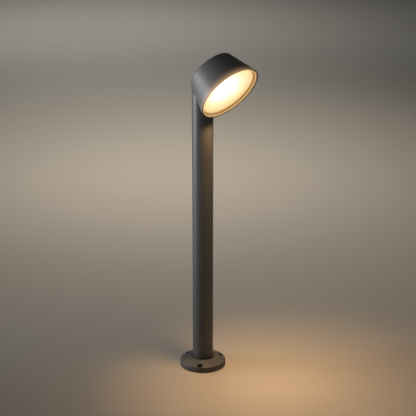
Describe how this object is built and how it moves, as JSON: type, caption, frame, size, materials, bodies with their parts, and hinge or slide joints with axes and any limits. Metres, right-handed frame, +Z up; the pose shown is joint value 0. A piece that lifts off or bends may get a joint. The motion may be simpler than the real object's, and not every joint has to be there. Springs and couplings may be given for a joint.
{
  "type": "bollard light",
  "caption": "Garden bollard light: a conical floodlight head that tilts on a slim round pole, which swivels on a bolted-down round flange.",
  "frame": {"origin": "centre of the flange's underside, on the ground and on the pole's axis", "axes": "+Z up along the pole; the light shines towards -Y and downwards; the tilt pivot runs along X"},
  "size_m": [0.1885, 0.2273, 0.9518],
  "materials": {
    "powder_coat": "satin",
    "bare_aluminium": "satin",
    "stainless": "satin",
    "zinc_sheet": "satin",
    "brass": "satin",
    "black_rubber": "matte",
    "lead_sheath": "satin",
    "wire_sleeve": "satin",
    "silicone": "satin",
    "natural_nylon": "satin",
    "white_plastic": "satin",
    "thermal_pad": "matte",
    "board_white": "satin",
    "led_phosphor": "gloss",
    "reflector_white": "satin",
    "opal_diffuser": "satin"
  },
  "bodies": {
    "base": {"base_flange": "powder_coat", "cable_grommet": "black_rubber", "foot_ring": "natural_nylon", "foot_seal": "black_rubber", "gear_tray": "zinc_sheet", "tray_screws": "stainless", "cable_saddle": "natural_nylon", "saddle_screws": "stainless", "terminal_block": "white_plastic", "terminal_screws": "stainless", "earth_screw": "brass", "earth_washer": "stainless", "supply_wires": "wire_sleeve", "led_driver": "white_plastic", "driver_screws": "stainless", "driver_outlet": "black_rubber"},
    "pole": {"pole_tube": "powder_coat", "grub_screws": "stainless", "pole_cap": "powder_coat", "cap_screws": "stainless", "cap_seal": "black_rubber", "cap_grommet": "black_rubber", "pole_lead": "lead_sheath", "tilt_lead": "lead_sheath"},
    "head": {"head_housing": "powder_coat", "hinge_bracket": "powder_coat", "bracket_gasket": "black_rubber", "bracket_screws": "stainless", "pivot_bolt": "stainless", "pivot_nut": "stainless", "pivot_washers": "natural_nylon", "head_grommet": "black_rubber", "head_lead": "lead_sheath", "heat_sink": "bare_aluminium", "sink_screws": "stainless", "thermal_pad": "thermal_pad", "led_board": "board_white", "led_chips": "led_phosphor", "board_screws": "stainless", "board_plug": "white_plastic", "reflector": "reflector_white", "diffuser_gasket": "silicone", "diffuser": "opal_diffuser", "front_ring": "powder_coat"}
  },
  "joints": [
    {"name": "pole_swivel", "type": "hinge", "parent": "base", "child": "pole", "pos_m": [0, 0, 0.057], "axis": [0, 0, 1], "range_deg": [-170, 170]},
    {"name": "head_tilt", "type": "hinge", "parent": "pole", "child": "head", "pos_m": [0, 0.013, 0.86], "axis": [-1, 0, 0], "range_deg": [0, 35], "deforming": ["tilt_lead"]}
  ]
}
